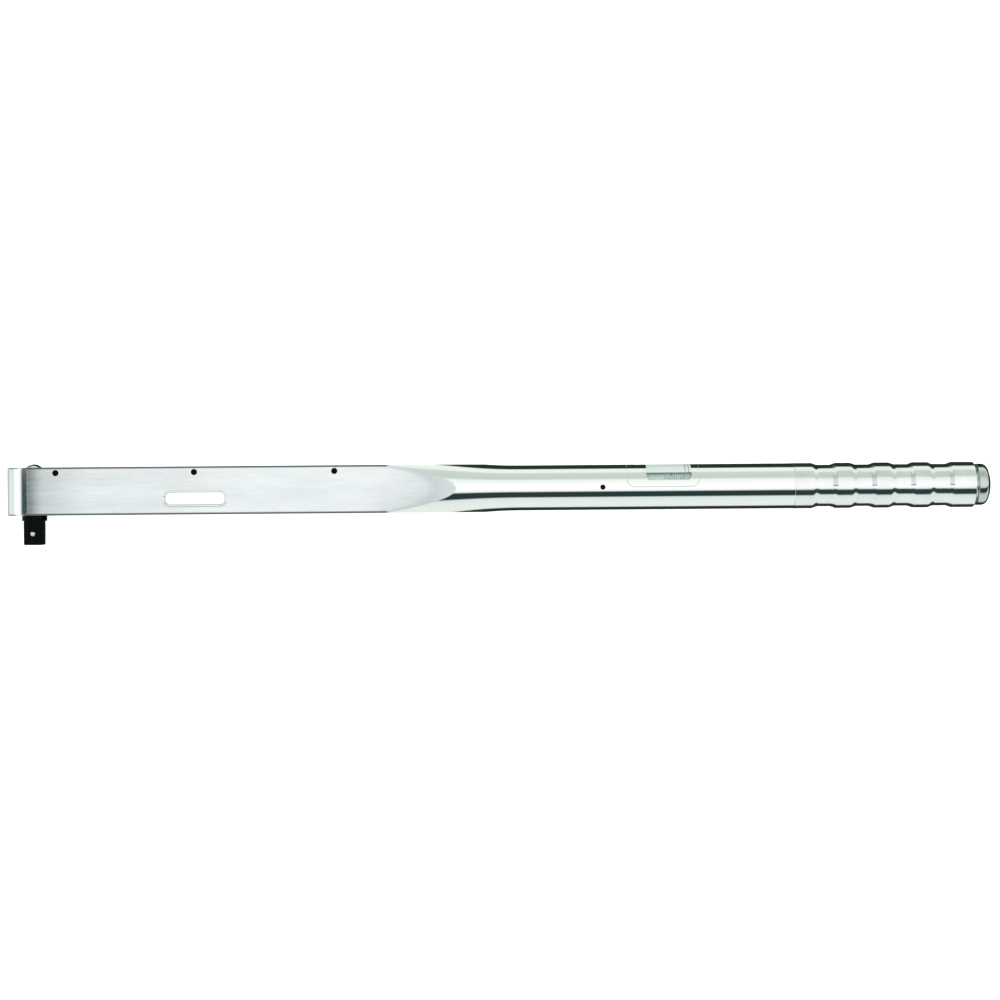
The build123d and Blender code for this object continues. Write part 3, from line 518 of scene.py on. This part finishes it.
def make_materials():
    dress(["housing", "window_bezel"], housing_metal())
    dress(["grip_sleeve"], metal("grip_aluminium", ALUMINIUM, 0.10, FINE, 0.02, POLISHED))
    dress(["cover_strip"], metal("cover_aluminium", (0.78, 0.79, 0.79), 0.33, (25, 1500, 1500)))
    dress(["end_cap"], metal("cap_aluminium", (0.60, 0.64, 0.61), 0.14, (160, 160, 160), 0.06, 2 * PLAIN))
    black = metal("black_steel", (0.006, 0.007, 0.0075), 0.22, FINE, 0.06)
    dress(["drive_square", "cover_set_screws", "guide_screw", "cap_screws"], black)
    dress(["release_button", "detent_ball", "thrust_balls"],
          metal("chrome", (0.86, 0.87, 0.87), 0.06, FINE, 0.02, POLISHED))
    steel = metal("tool_steel", (0.50, 0.51, 0.52), 0.30, (60, 600, 600))
    dress(["lever", "lever_cap", "ratchet_wheel", "pawl", "tilt_block", "plunger", "setting_nut",
           "spindle", "front_thrust_washer", "rear_thrust_washer", "bearing_block", "bezel_screw"], steel)
    spring = metal("spring_steel", (0.30, 0.31, 0.33), 0.35, (500, 500, 500))
    dress(["main_spring", "button_spring", "pawl_spring", "retaining_ring"], spring)
    dress(["lower_bush", "upper_bush", "ball_cage", "rear_bush"],
          metal("bronze", (0.62, 0.42, 0.2), 0.32, (200, 400, 200)))
    scale = Shader("scale_face", Roughness=0.5)
    grain = scale.noise(1.0, (60, 900, 900))
    scale.set("Base Color", scale.mix(grain, (0.62, 0.76, 0.70, 1), (0.74, 0.86, 0.80, 1)))
    scale.bump(grain, PLAIN)
    dress(["scale_carrier"], scale)

    plate = Shader("white_plate", Roughness=0.45)
    grain = plate.noise(700.0)
    plate.set("Base Color", plate.mix(grain, (0.93, 0.94, 0.94, 1), (0.86, 0.87, 0.88, 1)))
    plate.bump(grain, PLAIN)
    dress(["nameplate"], plate)

    dress(["lens"], lens_plastic())

    rubber = Shader("nitrile", Roughness=0.6)
    grain = rubber.noise(900.0)
    rubber.set("Base Color", rubber.mix(grain, (0.02, 0.02, 0.02, 1), (0.05, 0.05, 0.05, 1)))
    dress(["cap_o_ring"], rubber)


# ---------------------------------------------------------------- details round the nameplate and window


def on_round(x, y, radius):
    """The point at x and y on the upper side of a cylinder about the wrench's length."""
    return Vector((x, y, (radius ** 2 - y ** 2) ** 0.5))


def quarter(first):
    """The angles of a quarter turn in even steps, in radians, from a first angle in degrees."""
    return [radians(first + step * 90 / CORNER_STEPS) for step in range(CORNER_STEPS + 1)]


def bridge(work, one, other):
    """Join two closed rings of vertices with quads."""
    for k in range(len(one)):
        n = (k + 1) % len(one)
        work.faces.new((one[k], one[n], other[n], other[k]))


def ribbon(work, path, across, radius, thick):
    """Add a thin bar that lies on a cylinder: path and across are (x, y) points and half-widths."""
    rings = []
    for (x, y), (dx, dy) in zip(path, across):
        ends = ((x - dx, y - dy), (x + dx, y + dy))
        low = [on_round(px, py, radius - thick) for px, py in ends]
        high = [on_round(px, py, radius) for px, py in ends]
        rings.append([work.verts.new(p) for p in (low[0], low[1], high[1], high[0])])
    for one, other in zip(rings, rings[1:]):
        bridge(work, one, other)
    work.faces.new(reversed(rings[0]))
    work.faces.new(rings[-1])


def finish_piece(work, name, body, shader):
    """Turn built geometry into a piece that rides on a body."""
    bmesh.ops.recalc_face_normals(work, faces=work.faces)
    mesh = bpy.data.meshes.new(name)
    work.to_mesh(mesh)
    work.free()
    mesh.materials.append(shader.material)
    piece = bpy.data.objects.new(name, mesh)
    bpy.context.scene.collection.objects.link(piece)
    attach(piece, body)


def make_ticks(shader):
    """A row of marks on the scale carrier, with a longer one at every fifth."""
    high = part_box("scale_carrier")[1]
    radius = high[2]
    work = bmesh.new()
    tick = 0
    x = TICK_START_X
    while x < high[0] - TICK_END_ROOM:
        top = TICK_LOW_Y + (TICK_LONG if tick % 5 == 0 else TICK_SHORT)
        path = [(x, TICK_LOW_Y + (top - TICK_LOW_Y) * k / 4) for k in range(5)]
        ribbon(work, path, [(TICK_WIDTH / 2, 0)] * 5, radius + TICK_PROUD, TICK_THICK)
        x += TICK_PITCH
        tick += 1
    finish_piece(work, "scale_ticks", "setting", shader)


def make_pointer(shader):
    """The small mark that the scale is read against, on the lens's inner face."""
    work = bmesh.new()
    path = [(POINTER_X, POINTER_TOP_Y), (POINTER_X, POINTER_TIP_Y)]
    ribbon(work, path, [(half, 0) for half in POINTER_HALF_WIDTHS], LENS_INNER_RADIUS, POINTER_THICK)
    finish_piece(work, "scale_pointer", "housing", shader)


def plate_loop(low, high, grow, z):
    """Points round the nameplate, with rounded corners, at a distance from its edge and a height."""
    radius = PLATE_CORNER + grow
    left, lower = low[0] + PLATE_CORNER, low[1] + PLATE_CORNER
    right, upper = high[0] - PLATE_CORNER, high[1] - PLATE_CORNER
    centres = ((right, upper, 0), (left, upper, 90), (left, lower, 180), (right, lower, 270))
    return [Vector((x + radius * cos(angle), y + radius * sin(angle), z))
            for x, y, first in centres for angle in quarter(first)]


def make_plate_lip(shader):
    """The raised, sloping lip round the nameplate's recess."""
    low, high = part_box("nameplate")
    profile = ((LIP_INNER, LIP_SUNK), (LIP_INNER, LIP_RISE), (LIP_CREST, LIP_RISE), (LIP_OUTER, LIP_SUNK))
    work = bmesh.new()
    rings = [[work.verts.new(p) for p in plate_loop(low, high, grow, FLAT_Z + z)] for grow, z in profile]
    for one, other in zip(rings, rings[1:] + rings[:1]):
        bridge(work, one, other)
    finish_piece(work, "plate_lip", "housing", shader)


def make_bezel_seam(shader):
    """The thin line of sealant round the window bezel, one run on each side of the tube."""
    low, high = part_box("window_bezel")
    radius, half, corner = high[1], SEAM_WIDTH / 2, BEZEL_CORNER
    down = [radius * share for share in SEAM_HEIGHTS] + [corner * 1.2]
    path = [(low[0], y) for y in down]
    across = [(half, 0)] * len(down)
    for x, first in ((low[0] + corner, 180), (high[0] - corner, 270)):
        for angle in quarter(first):
            path.append((x + corner * cos(angle), SEAM_GAP + corner + corner * sin(angle)))
            across.append((-half * cos(angle), -half * sin(angle)))
    path += [(high[0], y) for y in reversed(down)]
    across += [(-half, 0)] * len(down)
    work = bmesh.new()
    ribbon(work, path, across, radius + SEAM_PROUD, SEAM_THICK)
    mirrored = bmesh.ops.duplicate(work, geom=work.verts[:] + work.edges[:] + work.faces[:])
    for vertex in (v for v in mirrored["geom"] if isinstance(v, bmesh.types.BMVert)):
        vertex.co.z = -vertex.co.z
    finish_piece(work, "bezel_seam", "housing", shader)


bpy.context.scene.view_settings.view_transform = "Standard"
make_camera()
make_floor()
make_studio()
make_materials()
ink = Shader("scale_ink", Roughness=0.5)
ink.set("Base Color", ink.mix(ink.noise(800.0), (0.02, 0.05, 0.045, 1), (0.05, 0.09, 0.08, 1)))
make_ticks(ink)
make_pointer(ink)
seal = Shader("window_sealant", Roughness=0.5)
seal.set("Base Color", seal.mix(seal.noise(500.0), (0.36, 0.38, 0.38, 1), (0.44, 0.46, 0.46, 1)))
make_bezel_seam(seal)
make_plate_lip(metal("lip_aluminium", (0.80, 0.83, 0.83), 0.16, FINE, 0.04, POLISHED))
